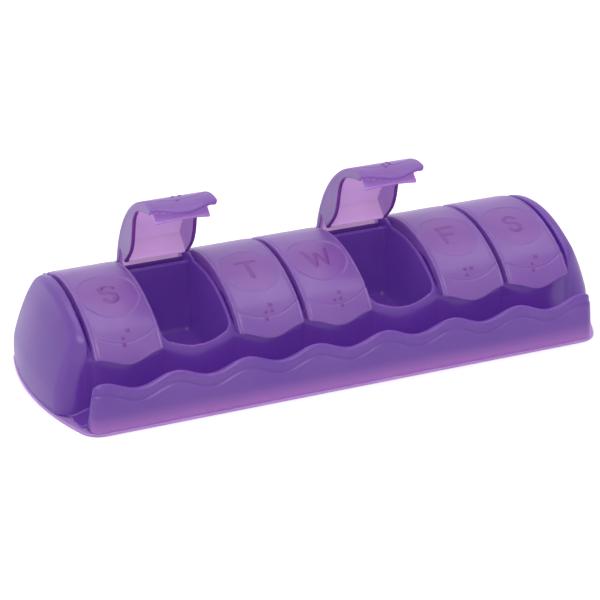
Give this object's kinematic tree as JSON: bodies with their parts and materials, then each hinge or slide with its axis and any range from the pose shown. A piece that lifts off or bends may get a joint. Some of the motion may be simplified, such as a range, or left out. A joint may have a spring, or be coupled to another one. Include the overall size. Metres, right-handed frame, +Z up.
{
  "type": "weekly pill organizer",
  "caption": "Weekly pill organizer: a long domed tray of compartments in a row, each with its own hinged lid marked with a day letter and Braille, and a wavy front wall",
  "frame": {"origin": "middle of the underside of the base plate", "axes": "+X along the row of compartments from Sunday to Saturday, -Y to the front (finger trough), +Z up"},
  "size_m": [0.238, 0.0798, 0.0769],
  "materials": {
    "tray_plastic": "milky translucent purple, smooth moulded gloss",
    "plate_plastic": "milky translucent purple, slightly pinker than the tray",
    "rod_plastic": "plain purple moulded plastic",
    "lid_plastic": "thin milky translucent purple, smooth gloss"
  },
  "bodies": {
    "tray": {"base_tray": "tray_plastic", "base_plate": "plate_plastic", "hinge_rod": "rod_plastic"},
    "lid_sunday_body": {"lid_sunday": "lid_plastic"},
    "lid_monday_body": {"lid_monday": "lid_plastic"},
    "lid_tuesday_body": {"lid_tuesday": "lid_plastic"},
    "lid_wednesday_body": {"lid_wednesday": "lid_plastic"},
    "lid_thursday_body": {"lid_thursday": "lid_plastic"},
    "lid_friday_body": {"lid_friday": "lid_plastic"},
    "lid_saturday_body": {"lid_saturday": "lid_plastic"}
  },
  "joints": [
    {"name": "lid_sunday_hinge", "type": "hinge", "parent": "tray", "child": "lid_sunday_body", "pos_m": [-0.087, 0.03397, 0.03371], "axis": [-1, 0, 0], "range_deg": [0, 110]},
    {"name": "lid_monday_hinge", "type": "hinge", "parent": "tray", "child": "lid_monday_body", "pos_m": [-0.058, 0.03397, 0.03371], "axis": [-1, 0, 0], "range_deg": [-51, 59]},
    {"name": "lid_tuesday_hinge", "type": "hinge", "parent": "tray", "child": "lid_tuesday_body", "pos_m": [-0.029, 0.03397, 0.03371], "axis": [-1, 0, 0], "range_deg": [0, 110]},
    {"name": "lid_wednesday_hinge", "type": "hinge", "parent": "tray", "child": "lid_wednesday_body", "pos_m": [0, 0.03397, 0.03371], "axis": [-1, 0, 0], "range_deg": [0, 110]},
    {"name": "lid_thursday_hinge", "type": "hinge", "parent": "tray", "child": "lid_thursday_body", "pos_m": [0.029, 0.03397, 0.03371], "axis": [-1, 0, 0], "range_deg": [-51, 59]},
    {"name": "lid_friday_hinge", "type": "hinge", "parent": "tray", "child": "lid_friday_body", "pos_m": [0.058, 0.03397, 0.03371], "axis": [-1, 0, 0], "range_deg": [0, 110]},
    {"name": "lid_saturday_hinge", "type": "hinge", "parent": "tray", "child": "lid_saturday_body", "pos_m": [0.087, 0.03397, 0.03371], "axis": [-1, 0, 0], "range_deg": [0, 110]}
  ]
}
